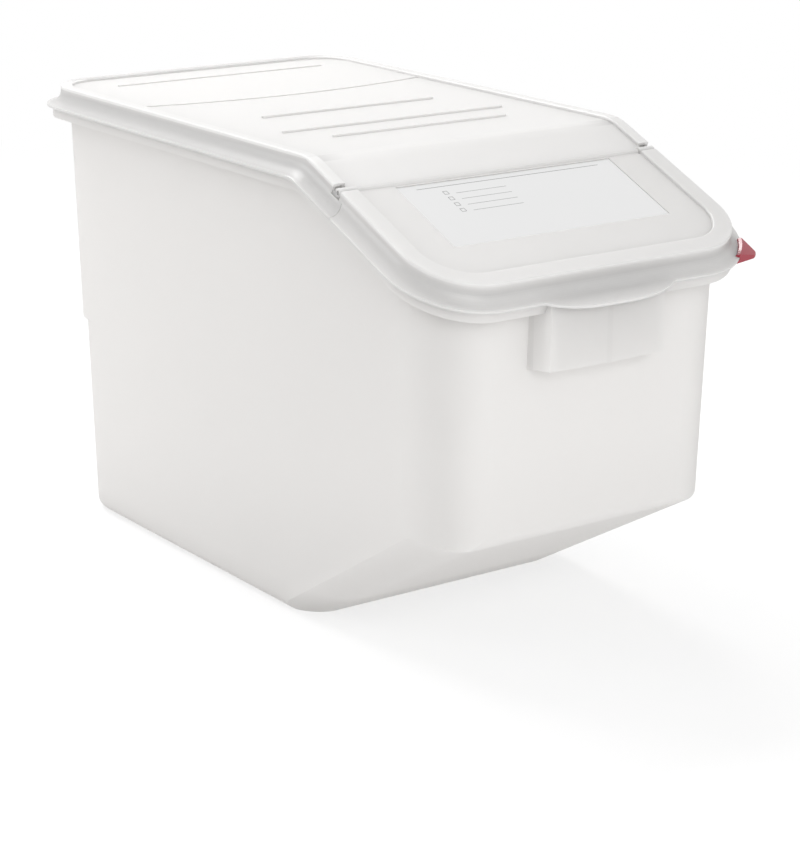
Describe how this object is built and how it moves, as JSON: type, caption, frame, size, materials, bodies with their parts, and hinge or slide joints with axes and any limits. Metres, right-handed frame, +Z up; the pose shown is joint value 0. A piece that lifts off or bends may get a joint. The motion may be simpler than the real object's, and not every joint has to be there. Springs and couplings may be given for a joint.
{
  "type": "rice bin with flip lid",
  "caption": "Free-standing plastic bin for rice and dry goods, with a sloped front flap that flips up, a lift-off rear lid, a front grip and a push-on colour clip.",
  "frame": {"origin": "centre of the flat base, on the floor", "axes": "+X to the bin's right as its user faces the front, +Y to the back, +Z up"},
  "size_m": [0.376, 0.6977, 0.438],
  "materials": {
    "clear_plastic": "translucent, lightly frosted polypropylene",
    "lid_plastic": "white satin polypropylene",
    "label": "smooth white film",
    "clip_plastic": "glossy crimson"
  },
  "bodies": {
    "bin": {"bin_body": "clear_plastic"},
    "lid": {"rear_lid": "lid_plastic"},
    "flap": {"front_flap": "clear_plastic", "label_film": "label"},
    "clip": {"colour_clip": "clip_plastic"}
  },
  "joints": [
    {"name": "lid_lift", "type": "slide", "parent": "bin", "child": "lid", "axis": [0, 0, 1], "range_m": [0, 0.08]},
    {"name": "flap_hinge", "type": "hinge", "parent": "lid", "child": "flap", "pos_m": [0, -0.29523, 0.41359], "axis": [-1, 0, 0], "range_deg": [0, 120]},
    {"name": "clip_pull", "type": "slide", "parent": "flap", "child": "clip", "axis": [0.7431, -0.6169, -0.2593], "range_m": [0, 0.02]}
  ]
}
